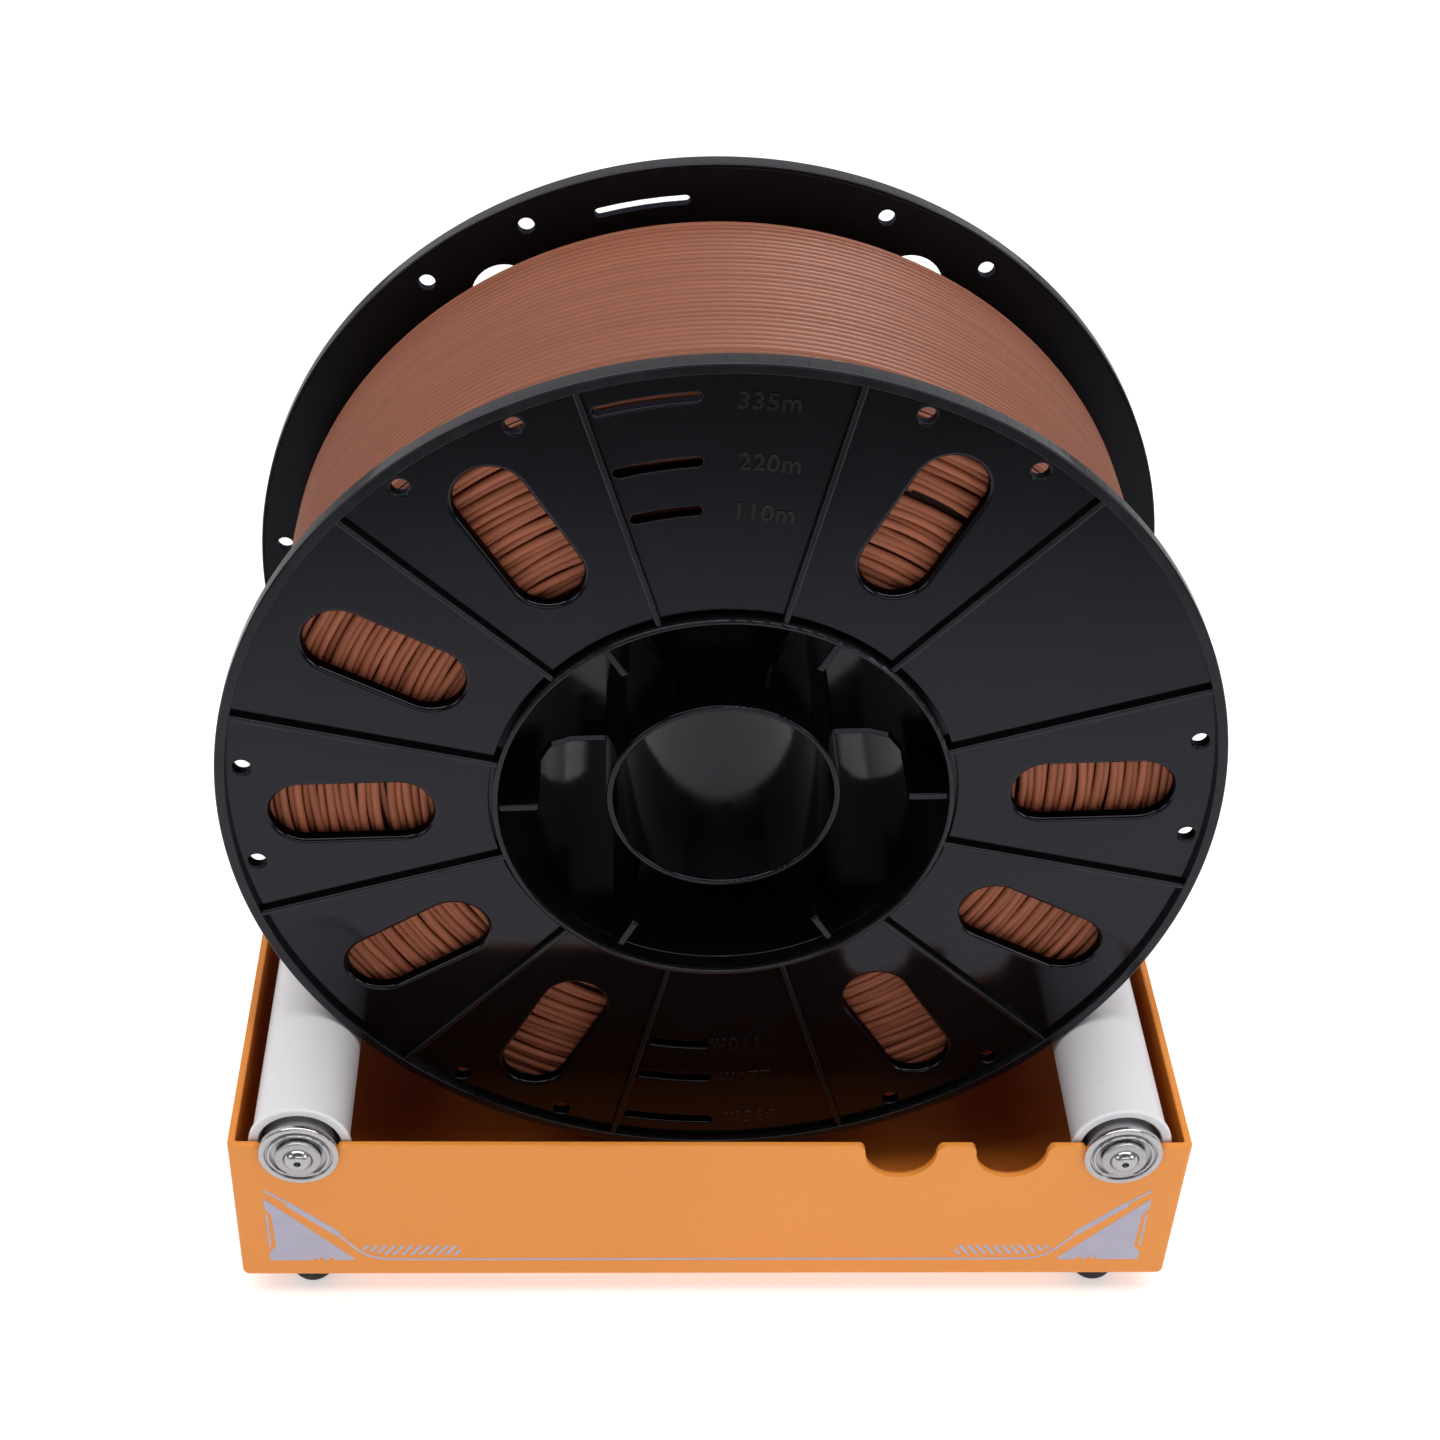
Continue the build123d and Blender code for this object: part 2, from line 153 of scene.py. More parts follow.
def slab(name, outlines, y_back, y_front, bevel=0.0):
    """Closed flat slabs from outlines of (x, z) points, standing from y_back to y_front."""
    bm = bmesh.new()
    for pts in outlines:
        back = [bm.verts.new((x, y_back, z)) for x, z in pts]
        front = [bm.verts.new((x, y_front, z)) for x, z in pts]
        bm.faces.new(back)
        bm.faces.new(list(reversed(front)))
        n = len(pts)
        for i in range(n):
            j = (i + 1) % n
            bm.faces.new((back[j], back[i], front[i], front[j]))
    bmesh.ops.recalc_face_normals(bm, faces=bm.faces)
    bmesh.ops.triangulate(bm, faces=[f_ for f_ in bm.faces if len(f_.verts) > 4])
    me = bpy.data.meshes.new(name)
    bm.to_mesh(me)
    bm.free()
    ob = bpy.data.objects.new(name, me)
    bpy.context.scene.collection.objects.link(ob)
    return ob


# ------------------------------------------------------------------ material tools
class Mat:
    """A Principled material with a small node builder round it."""

    def __init__(self, name):
        self.m = bpy.data.materials.new(name)
        self.m.use_nodes = True
        self.t = self.m.node_tree
        self.t.nodes.clear()
        self.out = self.t.nodes.new("ShaderNodeOutputMaterial")
        self.p = self.t.nodes.new("ShaderNodeBsdfPrincipled")
        self.t.links.new(self.p.outputs[0], self.out.inputs[0])
        self.co = self.t.nodes.new("ShaderNodeTexCoord")

    def set(self, **values):
        for key, v in values.items():
            self.p.inputs[key.replace("_", " ")].default_value = v
        return self

    def node(self, kind, **props):
        n = self.t.nodes.new(kind)
        for k, v in props.items():
            setattr(n, k, v)
        return n

    def link(self, a, b):
        self.t.links.new(a, b)

    def coords(self, scale=(1, 1, 1)):
        n = self.node("ShaderNodeMapping")
        n.inputs["Scale"].default_value = scale
        self.link(self.co.outputs["Object"], n.inputs["Vector"])
        return n.outputs[0]

    def noise(self, scale, detail=2.0, rough=0.5, vector=None, distortion=0.0):
        n = self.node("ShaderNodeTexNoise")
        n.inputs["Scale"].default_value = scale
        n.inputs["Detail"].default_value = detail
        n.inputs["Roughness"].default_value = rough
        n.inputs["Distortion"].default_value = distortion
        self.link(vector if vector is not None else self.co.outputs["Object"], n.inputs["Vector"])
        return n.outputs["Fac"]

    def ramp(self, value, stops):
        n = self.node("ShaderNodeValToRGB")
        e = n.color_ramp.elements
        while len(e) < len(stops):
            e.new(0.5)
        for i, (pos, col) in enumerate(stops):
            e[i].position = pos
            e[i].color = (*col, 1) if len(col) == 3 else col
        self.link(value, n.inputs[0])
        return n.outputs[0]

    def remap(self, value, lo, hi, from_lo=0.0, from_hi=1.0):
        n = self.node("ShaderNodeMapRange")
        n.inputs["From Min"].default_value = from_lo
        n.inputs["From Max"].default_value = from_hi
        n.inputs["To Min"].default_value = lo
        n.inputs["To Max"].default_value = hi
        self.link(value, n.inputs["Value"])
        return n.outputs[0]

    def math(self, op, a, b=None):
        n = self.node("ShaderNodeMath", operation=op)
        for i, v in enumerate((a, b)):
            if v is None:
                continue
            if isinstance(v, (int, float)):
                n.inputs[i].default_value = v
            else:
                self.link(v, n.inputs[i])
        return n.outputs[0]

    def mix(self, fac, a, b, blend="MIX"):
        n = self.node("ShaderNodeMix", data_type="RGBA", blend_type=blend)
        for sock, v in ((n.inputs[0], fac), (n.inputs[6], a), (n.inputs[7], b)):
            if isinstance(v, (int, float)):
                sock.default_value = v
            elif isinstance(v, (tuple, list)):
                sock.default_value = (*v, 1) if len(v) == 3 else v
            else:
                self.link(v, sock)
        return n.outputs[2]

    def bump(self, height, strength, distance, normal=None):
        n = self.node("ShaderNodeBump")
        n.inputs["Strength"].default_value = strength
        n.inputs["Distance"].default_value = distance
        self.link(height, n.inputs["Height"])
        if normal is not None:
            self.link(normal, n.inputs["Normal"])
        return n.outputs[0]

    def base(self, v):
        if isinstance(v, tuple):
            self.p.inputs["Base Color"].default_value = (*v, 1)
        else:
            self.link(v, self.p.inputs["Base Color"])

    def rough(self, v):
        self.link(v, self.p.inputs["Roughness"])

    def normal(self, v):
        self.link(v, self.p.inputs["Normal"])


# ---- orange powder coat on sheet steel
def orange_paint():
    mt = Mat("orange_paint")
    mt.set(Metallic=0.0, IOR=1.5)
    mt.p.inputs["Specular IOR Level"].default_value = 0.42
    big = mt.noise(9.0, 3.0, 0.55)
    fine = mt.noise(420.0, 3.0, 0.6)
    col = mt.ramp(big, [(0.30, (0.770, 0.262, 0.036)), (0.70, (0.840, 0.298, 0.046))])
    speck = mt.noise(2600.0, 1.0, 0.5)
    col = mt.mix(mt.remap(speck, 0.0, 0.10, 0.35, 0.75), col, (0.70, 0.225, 0.028))
    # painted shade: the inside of the tray is multiplied darker and browner, standing in for the shade the reel casts
    # there
    sep = mt.node("ShaderNodeSeparateXYZ")
    mt.link(mt.co.outputs["Object"], sep.inputs[0])
    in_x = mt.math("LESS_THAN", mt.math("ABSOLUTE", sep.outputs[0]), 0.0992)
    in_y = mt.math("LESS_THAN", mt.math("ABSOLUTE", sep.outputs[1]), 0.0696)
    inside = mt.math("MULTIPLY", mt.math("MULTIPLY", in_x, in_y), mt.math("LESS_THAN", sep.outputs[2], 0.0470))
    inside = mt.math("MULTIPLY", inside, mt.math("GREATER_THAN", sep.outputs[2], 0.0062))
    inside_shade = mt.mix(1.0, col, (0.66, 0.50, 0.34), "MULTIPLY")
    col = mt.mix(inside, col, inside_shade)
    mt.base(col)
    mt.rough(mt.remap(fine, 0.36, 0.47, 0.3, 0.7))
    peel = mt.noise(1500.0, 2.0, 0.45)
    grain = mt.noise(5200.0, 2.0, 0.6)
    n1 = mt.bump(peel, 0.22, 0.00006)
    mt.normal(mt.bump(grain, 0.10, 0.00003, n1))
    return mt.m


# ---- glossy black moulded plastic of the reel
def black_plastic():
    mt = Mat("black_reel_plastic")
    mt.set(Metallic=0.0, IOR=1.5)
    mt.p.inputs["Specular IOR Level"].default_value = 0.42
    mt.p.inputs["Specular Tint"].default_value = (0.84, 0.83, 1.0, 1.0)
    sep = mt.node("ShaderNodeSeparateXYZ")
    mt.link(mt.co.outputs["Object"], sep.inputs[0])
    flow = mt.noise(34.0, 4.0, 0.6, distortion=0.6)
    smear = mt.noise(210.0, 4.0, 0.62)
    col = mt.ramp(flow, [(0.35, (0.0026, 0.0026, 0.0031)), (0.68, (0.0040, 0.0039, 0.0047))])
    # a few grains of dust: small cells, and only some of them
    dust = mt.node("ShaderNodeTexVoronoi", feature="F1")
    dust.inputs["Scale"].default_value = 165.0
    mt.link(mt.co.outputs["Object"], dust.inputs["Vector"])
    pick = mt.node("ShaderNodeSeparateColor")
    mt.link(dust.outputs["Color"], pick.inputs[0])
    some = mt.math("GREATER_THAN", pick.outputs[0], 0.986)
    spot = mt.remap(dust.outputs["Distance"], 1.0, 0.0, 0.035, 0.075)
    spot = mt.math("MULTIPLY", spot, some)
    col = mt.mix(mt.math("MULTIPLY", spot, 0.7), col, (0.17, 0.17, 0.18))
    # rubbed tops of the ribs and of the rim, proud of the plate on both sides: the rubbing is wear, and their lighter
    # tone is partly a painted sheen, standing in for the light these proud faces catch
    proud = mt.remap(mt.math("ABSOLUTE", sep.outputs[1]), 0.0, 1.0, 0.04128, 0.04155)
    rub_and_sheen = mt.remap(mt.noise(75.0, 5.0, 0.72), 0.35, 1.0, 0.40, 0.72)
    rub_and_sheen = mt.math("MULTIPLY", rub_and_sheen, proud)
    col = mt.mix(mt.math("MULTIPLY", rub_and_sheen, 0.55), col, (0.024, 0.023, 0.0255))
    rough = mt.remap(smear, 0.085, 0.135, 0.35, 0.70)
    scratch = mt.noise(95.0, 5.0, 0.7, vector=mt.coords((1.0, 1.0, 14.0)))
    rough = mt.math("ADD", rough, mt.remap(scratch, 0.0, 0.05, 0.60, 0.72))
    rough = mt.math("ADD", rough, mt.math("MULTIPLY", rub_and_sheen, 0.12))
    # the cut walls of windows, holes and slots keep the mould's matt grain, so they are rougher; their near-black
    # base and metallic black, which take their reflections away, are painted shade, standing in for the shade inside
    # these cuts
    off_x = mt.math("SUBTRACT", sep.outputs[0], REEL_X)
    off_z = mt.math("SUBTRACT", sep.outputs[2], REEL_Z)
    reach = mt.math("SQRT", mt.math("ADD", mt.math("MULTIPLY", off_x, off_x), mt.math("MULTIPLY", off_z, off_z)))
    depth = mt.math("ABSOLUTE", sep.outputs[1])
    cut_wall_shade = mt.math("MULTIPLY", mt.math("GREATER_THAN", depth, 0.03805), mt.math("LESS_THAN", depth, 0.03990))
    cut_wall_shade = mt.math("MULTIPLY", cut_wall_shade, mt.math("MULTIPLY", mt.math("GREATER_THAN", reach, 0.0520), mt.math("LESS_THAN", reach, 0.0978)))
    rough = mt.math("ADD", rough, mt.math("MULTIPLY", cut_wall_shade, 0.40))
    mt.base(mt.mix(cut_wall_shade, col, (0.0012, 0.0012, 0.0014)))
    # the inner faces of the flanges are blasted and reflect only a blurred half of the winding
    inner = mt.math("MULTIPLY", mt.math("GREATER_THAN", depth, 0.0370), mt.math("LESS_THAN", depth, 0.03806))
    inner = mt.math("MULTIPLY", inner, mt.math("GREATER_THAN", reach, 0.0520))
    rough = mt.math("ADD", rough, mt.math("MULTIPLY", inner, 0.26))
    mt.link(mt.math("MAXIMUM", cut_wall_shade, mt.math("MULTIPLY", inner, 0.42)), mt.p.inputs["Metallic"])
    mt.rough(rough)
    wave = mt.noise(30.0, 2.0, 0.5)
    n1 = mt.bump(wave, 0.05, 0.0006)
    mt.normal(mt.bump(smear, 0.035, 0.00006, n1))
    return mt.m


def figure_plastic():
    """The same plastic where fingers have rubbed the raised figures matt."""
    mt = Mat("black_reel_figures")
    mt.set(Metallic=0.0, IOR=1.5)
    mt.p.inputs["Specular IOR Level"].default_value = 0.5
    worn = mt.noise(260.0, 3.0, 0.6)
    mt.base(mt.ramp(worn, [(0.3, (0.0045, 0.0045, 0.0055)), (0.7, (0.0080, 0.0080, 0.0092))]))
    mt.rough(mt.remap(worn, 0.17, 0.24, 0.3, 0.7))
    mt.normal(mt.bump(mt.noise(1800.0, 2.0, 0.6), 0.10, 0.00004))
    return mt.m


def white_plastic(name, tone, rough_lo, rough_hi, grain_scale, grain_bump):
    mt = Mat(name)
    mt.set(Metallic=0.0, IOR=1.47)
    mt.p.inputs["Subsurface Weight"].default_value = 0.08
    mt.p.inputs["Subsurface Radius"].default_value = (0.6, 0.6, 0.6)
    mt.p.inputs["Subsurface Scale"].default_value = 0.001
    big = mt.noise(22.0, 3.0, 0.55)
    col = mt.ramp(big, [(0.3, tuple(c * 0.965 for c in tone)), (0.7, tone)])
    scuff = mt.noise(160.0, 5.0, 0.7, vector=mt.coords((1.0, 6.0, 1.0)))
    col = mt.mix(mt.remap(scuff, 0.0, 0.10, 0.58, 0.75), col, (0.42, 0.42, 0.43))
    mt.base(col)
    mt.rough(mt.remap(scuff, rough_lo, rough_hi, 0.3, 0.75))
    mt.normal(mt.bump(mt.noise(grain_scale, 3.0, 0.55), grain_bump, 0.00004))
    return mt.m


def steel(name, tone, rough_lo, rough_hi, lines, bump, spec_lines=(1, 1, 1)):
    """Turned or ground steel. lines is how fine the tool marks are; spec_lines squeezes them along an axis."""
    mt = Mat(name)
    mt.set(Metallic=1.0)
    mark = mt.noise(lines, 4.0, 0.65, vector=mt.coords(spec_lines))
    big = mt.noise(240.0, 3.0, 0.6)
    col = mt.ramp(big, [(0.3, tuple(c * 0.86 for c in tone)), (0.7, tone)])
    mt.base(col)
    mt.rough(mt.remap(mark, rough_lo, rough_hi, 0.3, 0.7))
    mt.normal(mt.bump(mark, bump, 0.00003))
    return mt.m


def turned_steel(name, tone, rough_lo, rough_hi, centres, rings, bump):
    """Steel with fine rings about each turning axis along Y: the rings come from the distance to the nearest axis."""
    mt = Mat(name)
    mt.set(Metallic=1.0)
    sep = mt.node("ShaderNodeSeparateXYZ")
    mt.link(mt.co.outputs["Object"], sep.inputs[0])
    # both axes stand at the same height and at plus and minus the same x
    cx, cz = centres
    x = mt.math("SUBTRACT", mt.math("ABSOLUTE", sep.outputs[0]), cx)
    z = mt.math("SUBTRACT", sep.outputs[2], cz)
    rr = mt.math("SQRT", mt.math("ADD", mt.math("MULTIPLY", x, x), mt.math("MULTIPLY", z, z)))
    comb = mt.node("ShaderNodeCombineXYZ")
    mt.link(rr, comb.inputs[0])
    ring = mt.noise(rings, 3.0, 0.6, vector=comb.outputs[0])
    patch = mt.noise(700.0, 3.0, 0.6)
    col = mt.ramp(patch, [(0.3, tuple(c * 0.88 for c in tone)), (0.7, tone)])
    mt.base(col)
    mt.rough(mt.remap(ring, rough_lo, rough_hi, 0.3, 0.7))
    mt.normal(mt.bump(ring, bump, 0.00002))
    return mt.m


def rubber():
    mt = Mat("black_rubber")
    mt.p.inputs["Specular IOR Level"].default_value = 0.35
    big = mt.noise(180.0, 3.0, 0.6)
    mt.base(mt.ramp(big, [(0.3, (0.012, 0.012, 0.013)), (0.7, (0.022, 0.021, 0.021))]))
    mt.rough(mt.remap(big, 0.55, 0.75, 0.3, 0.7))
    mt.normal(mt.bump(mt.noise(2400.0, 2.0, 0.6), 0.25, 0.00005))
    return mt.m


def filament(name, dark, light, rough_lo=0.42, rough_hi=0.54):
    """Extruded brown plastic strand: each strand has its own tone, carried by the mesh's strand attribute."""
    mt = Mat(name)
    mt.set(IOR=1.46)
    mt.p.inputs["Specular IOR Level"].default_value = 0.28
    at = mt.node("ShaderNodeAttribute", attribute_name="strand")
    col = mt.ramp(at.outputs["Fac"], [(0.0, dark), (1.0, light)])
    big = mt.noise(55.0, 3.0, 0.55)
    col = mt.mix(mt.remap(big, 0.0, 0.22, 0.35, 0.75), col, dark)
    mt.base(col)
    fine = mt.noise(900.0, 3.0, 0.6)
    mt.rough(mt.remap(fine, rough_lo, rough_hi, 0.3, 0.7))
    mt.normal(mt.bump(fine, 0.12, 0.00004))
    return mt.m


def ink():
    mt = Mat("grey_print")
    mt.set(Metallic=0.0)
    mt.p.inputs["Specular IOR Level"].default_value = 0.45
    big = mt.noise(120.0, 3.0, 0.6)
    mt.base(mt.ramp(big, [(0.3, (0.40, 0.385, 0.49)), (0.7, (0.455, 0.435, 0.55))]))
    mt.rough(mt.remap(mt.noise(900.0, 2.0, 0.6), 0.42, 0.55, 0.3, 0.7))
    mt.normal(mt.bump(mt.noise(1500.0, 2.0, 0.45), 0.2, 0.00005))
    return mt.m


ROLLER_X, ROLLER_Z = 0.08565, 0.0457
hub_lo, hub_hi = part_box("reel_hub_tube")
REEL_X, REEL_Z = (hub_lo.x + hub_hi.x) / 2, (hub_lo.z + hub_hi.z) / 2
M_ORANGE = orange_paint()
M_BLACK = black_plastic()
M_TUBE = white_plastic("white_tube_plastic", (0.78, 0.77, 0.795), 0.34, 0.46, 700.0, 0.10)
M_CAP = white_plastic("white_cap_plastic", (0.80, 0.79, 0.815), 0.30, 0.42, 900.0, 0.08)
M_BEARING = turned_steel("bearing_steel", (0.66, 0.65, 0.665), 0.16, 0.30, (ROLLER_X, ROLLER_Z), 9000.0, 0.15)
M_SHIELD = turned_steel("shield_steel", (0.56, 0.55, 0.56), 0.24, 0.40, (ROLLER_X, ROLLER_Z), 6000.0, 0.2)
M_WASHER = turned_steel("washer_steel", (0.60, 0.59, 0.61), 0.28, 0.42, (ROLLER_X, ROLLER_Z), 5000.0, 0.25)
M_BALL = steel("ball_steel", (0.72, 0.72, 0.73), 0.06, 0.12, 900.0, 0.02)
M_SHAFT = turned_steel("shaft_steel", (0.66, 0.655, 0.67), 0.14, 0.26, (ROLLER_X, ROLLER_Z), 4000.0, 0.12)
M_CLIP = turned_steel("clip_steel", (0.70, 0.69, 0.71), 0.10, 0.18, (ROLLER_X, ROLLER_Z), 3000.0, 0.05)
M_RUBBER = rubber()
# painted light and shade: the same filament has a darker tone on the outer layer and lighter ones on the side faces,
# set to match how brightly each face is lit
M_FIL = filament("brown_filament", (0.196, 0.062, 0.032), (0.286, 0.095, 0.052), 0.40, 0.50)
M_FIL_SIDE = filament("brown_filament_side", (0.235, 0.068, 0.032), (0.395, 0.128, 0.067))
M_FIL_UNDER = filament("brown_filament_under", (0.200, 0.066, 0.036), (0.260, 0.090, 0.050), 0.5, 0.6)
M_CORE_SHADE = filament("brown_filament_core_painted_shade", (0.022, 0.007, 0.004), (0.045, 0.015, 0.008), 0.6, 0.8)
M_INK = ink()
M_FIGURE = figure_plastic()

BY_END = {
    "_bearing_balls": M_BALL, "_bearing_shields": M_SHIELD, "_outer_ring": M_BEARING, "_inner_ring": M_BEARING,
    "_retaining_washer": M_WASHER, "_shaft": M_SHAFT, "_end_cap": M_CAP, "_roller_tube": M_TUBE, "_foot": M_RUBBER,
}


# ------------------------------------------------------------------ shading of the CAD nodes
def shading_group():
    """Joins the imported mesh's split corners and smooths by angle, as modifiers, so the CAD mesh stays as it is."""
    g = bpy.data.node_groups.new("weld_and_smooth", "GeometryNodeTree")
    g.interface.new_socket("Geometry", in_out="INPUT", socket_type="NodeSocketGeometry")
    g.interface.new_socket("Geometry", in_out="OUTPUT", socket_type="NodeSocketGeometry")
    gi, go = g.nodes.new("NodeGroupInput"), g.nodes.new("NodeGroupOutput")
    drop = g.nodes.new("GeometryNodeRemoveAttribute")
    drop.inputs["Name"].default_value = "custom_normal"
    weld = g.nodes.new("GeometryNodeMergeByDistance")
    weld.inputs["Distance"].default_value = 1e-6
    face = g.nodes.new("GeometryNodeSetShadeSmooth")
    face.domain = "FACE"
    face.inputs["Shade Smooth"].default_value = True
    angle = g.nodes.new("GeometryNodeInputMeshEdgeAngle")
    less = g.nodes.new("FunctionNodeCompare")
    less.data_type, less.operation = "FLOAT", "LESS_THAN"
    less.inputs[1].default_value = math.radians(28)
    edge = g.nodes.new("GeometryNodeSetShadeSmooth")
    edge.domain = "EDGE"
    L = g.links.new
    L(gi.outputs[0], drop.inputs["Geometry"])
    L(drop.outputs["Geometry"], weld.inputs["Geometry"])
    L(weld.outputs["Geometry"], face.inputs["Geometry"])
    L(face.outputs["Geometry"], edge.inputs["Geometry"])
    L(angle.outputs["Unsigned Angle"], less.inputs[0])
    L(less.outputs["Result"], edge.inputs["Shade Smooth"])
    L(edge.outputs["Geometry"], go.inputs[0])
    return g


SMOOTH = shading_group()
BEVEL = {"reel_barrel": 0.0003, "reel_spokes": 0.00035}
BEVEL_END = {"_outer_ring": 0.00016, "_inner_ring": 0.00012, "_retaining_washer": 0.00015}

for name, ob in nodes.items():
    mat = M_BLACK
    if name == "tray":
        mat = M_ORANGE
    for end, choice in BY_END.items():
        if name.endswith(end):
            mat = choice
    for s in ob.material_slots:
        s.material = mat
    if not ob.material_slots:
        ob.data.materials.append(mat)
    gn = ob.modifiers.new("weld_and_smooth", "NODES")
    gn.node_group = SMOOTH
    width = BEVEL.get(name, 0.0)
    for end, w in BEVEL_END.items():
        if name.endswith(end):
            width = w
    if width:
        bv = ob.modifiers.new("soft_edges", "BEVEL")
        bv.limit_method = "ANGLE"
        bv.angle_limit = math.radians(34)
        bv.width = width
        bv.segments = 3
        bv.use_clamp_overlap = True
        bv.harden_normals = False
        bv.miter_outer = "MITER_ARC"
    wn = ob.modifiers.new("flat_faces_stay_flat", "WEIGHTED_NORMAL")
    wn.mode = "FACE_AREA"
    wn.weight = 50
    wn.keep_sharp = True

# ------------------------------------------------------------------ shield clips of the wall bearings
for label, sx, sy in (("front_left", -1, -1), ("front_right", 1, -1), ("rear_left", -1, 1), ("rear_right", 1, 1)):
    sh_lo, sh_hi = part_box("%s_bearing_shields" % label)
    face_y = sh_lo.y if sy < 0 else sh_hi.y
    cx, cz = (sh_lo.x + sh_hi.x) / 2, (sh_lo.z + sh_hi.z) / 2
    a_ = np.linspace(math.radians(-62), math.radians(242), 120)
    o_ = np.stack([np.cos(a_), np.zeros_like(a_), np.sin(a_)], 1)
    ax_ = np.tile(np.array([[0.0, 1.0, 0.0]]), (len(a_), 1))
    c_ = o_ * 0.0061 + ax_ * (face_y + sy * 0.00012) + np.array([cx, 0.0, cz])
    v, fcs = tube_arrays(c_, o_, ax_, 0.00026, 12, False)
    clip = mesh_object("%s_shield_clip" % label, v, fcs)
    recalc(clip)
    clip.data.materials.append(M_CLIP)
    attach(clip, "base")

# ------------------------------------------------------------------ wound filament
rng = np.random.default_rng(417)
low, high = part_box("wound_filament")
R_OUT = (high.x - low.x) / 2
Y_OUT = (high.y - low.y) / 2
STRAND_R = 0.000865
PITCH_Y = 0.00176


def wander(theta, amplitude, waves, gen):
    """A smooth periodic wobble round the reel."""
    out = np.zeros_like(theta)
    for w in waves:
        out += gen.normal(0, 1) * np.cos(w * theta + gen.uniform(0, 2 * math.pi)) / math.sqrt(len(waves))
    return out * amplitude


def ring_strand(radius, y, strand_r, segments, sides, tone, batch):
    """A closed strand round the reel axis; radius and y are arrays over the turn."""
    a = np.linspace(0, 2 * math.pi, segments, endpoint=False)
    out = np.stack([np.cos(a), np.zeros_like(a), np.sin(a)], 1)
    axis = np.tile(np.array([[0.0, 1.0, 0.0]]), (segments, 1))
    centre = out * radius[:, None] + axis * y[:, None] + np.array([REEL_X, 0.0, REEL_Z])
    v, fcs = tube_arrays(centre, out, axis, strand_r, sides, True)
    batch.add(v, fcs, tone)


# the outer layer: one helix from flange to flange, pressed a little flat by its own tension
FLAT = 0.50
seg = 168


def per_lane(values):
    return values[lane] * (1 - frac) + values[np.minimum(lane + 1, len(values) - 1)] * frac


SHOULDER = ((-0.0092, 0.0), (-0.0062, 0.0014), (-0.0038, 0.0036), (-0.0018, 0.0064), (0.0, 0.0094))


def rear_drop(y_):
    """How far the winding's surface lies below its full radius near the rear side."""
    at = [Y_OUT + a for a, _ in SHOULDER]
    return np.interp(y_, at, [d for _, d in SHOULDER])


# equal steps along the surface, so the turns stay close on the rear shoulder
fine = np.linspace(-Y_OUT + STRAND_R, Y_OUT - STRAND_R, 2000)
way = np.concatenate([[0.0], np.cumsum(np.hypot(np.diff(fine), np.diff(rear_drop(fine))))])
turns = int(way[-1] / PITCH_Y)
t = np.arange(turns * seg + 1) / seg
theta = t * 2 * math.pi
y = np.interp(way[-1] * t / turns, way, fine)
lane = np.floor(t).astype(int)
frac = t - lane
jit = rng.normal(0, 0.00006, turns + 2)
jit[0], jit[1], jit[2] = 0.0, 0.00030, 0.00034
sink = np.abs(rng.normal(0, 0.00004, turns + 2))
for q in (6, 15, 16, 27, 35):
    sink[q] += 0.00010
sink[5] += 0.00012
sink[7] += 0.00020
sink[0], sink[1], sink[2], sink[3] = 0.00075, 0.00040, 0.00030, 0.00010
sink[turns], sink[turns - 1], sink[turns - 2] = 0.0007, 0.0003, 0.0001
y = np.clip(y + per_lane(jit), -Y_OUT + STRAND_R, Y_OUT - STRAND_R)
rad = R_OUT - STRAND_R * FLAT - 0.00004 - per_lane(sink) - rear_drop(y) - 0.0004 * (rear_drop(y) > 0.0002)
out = np.stack([np.cos(theta), np.zeros_like(theta), np.sin(theta)], 1)
axis = np.tile(np.array([[0.0, 1.0, 0.0]]), (len(theta), 1))
centre = out * rad[:, None] + axis * y[:, None] + np.array([REEL_X, 0.0, REEL_Z])
layer = Batch()
v, fcs = tube_arrays(centre, out * FLAT, axis, STRAND_R, 10, False)
layer.add(v, fcs, 0.5)
outer = layer.make("wound_outer_layer")
tone = np.clip(0.60 + 0.13 * rng.normal(0, 1, turns + 2), 0, 1)
# painted shade: the three strands next to the front flange are darker, graded away from it, standing in for the shade
# in the corner against the flange
tone[0:3] = (0.25, 0.35, 0.45)
outer.data.attributes["strand"].data.foreach_set("value", np.repeat(per_lane(tone), 10).astype(np.float32))
outer.data.materials.append(M_FIL)

# the two side faces: one strand for each layer
sides = []
for side, y_face, label in ((-1, -Y_OUT, "front"), (1, Y_OUT, "rear")):
    batch = Batch()
    gen = np.random.default_rng(100 + side)
    seg = 240
    a = np.linspace(0, 2 * math.pi, seg, endpoint=False)
    layers = 27 if side < 0 else 24
    r_first, r_last = 0.0512, R_OUT - 0.0017 - (0.0094 if side > 0 else 0.0)
    for i, rb in enumerate(np.linspace(r_first, r_last, layers)):
        last = i >= layers - 2
        rr = rb + wander(a, 0.00006 if last else 0.00028, (2, 3, 5, 8, 11, 17), gen) + gen.normal(0, 0.00008)
        depth = 0.00012 + 0.00062 * (i % 2) + np.abs(wander(a, 0.00030, (2, 4, 7, 9, 15), gen))
        if not last and gen.uniform() < 0.35:
            where, width = gen.uniform(0, 2 * math.pi), gen.uniform(0.2, 0.8)
            dist = np.abs((a - where + math.pi) % (2 * math.pi) - math.pi)
            depth += 0.0012 * np.clip(1 - dist / width, 0, 1) ** 0.5
        if last:
            depth = 0.0004 + 0.0003 * (layers - 1 - i) + 0.3 * depth
        rr = np.minimum(rr, R_OUT - STRAND_R - 0.0003 - (0.0094 if side > 0 else 0.0))
        yy = side * (Y_OUT - STRAND_R - depth)
        ring_strand(rr, yy, STRAND_R, seg, 10, float(np.clip(gen.normal(0.55, 0.22), 0, 1)), batch)
    face = batch.make("wound_%s_face" % label)
    face.data.materials.append(M_FIL_SIDE)
    sides.append(face)
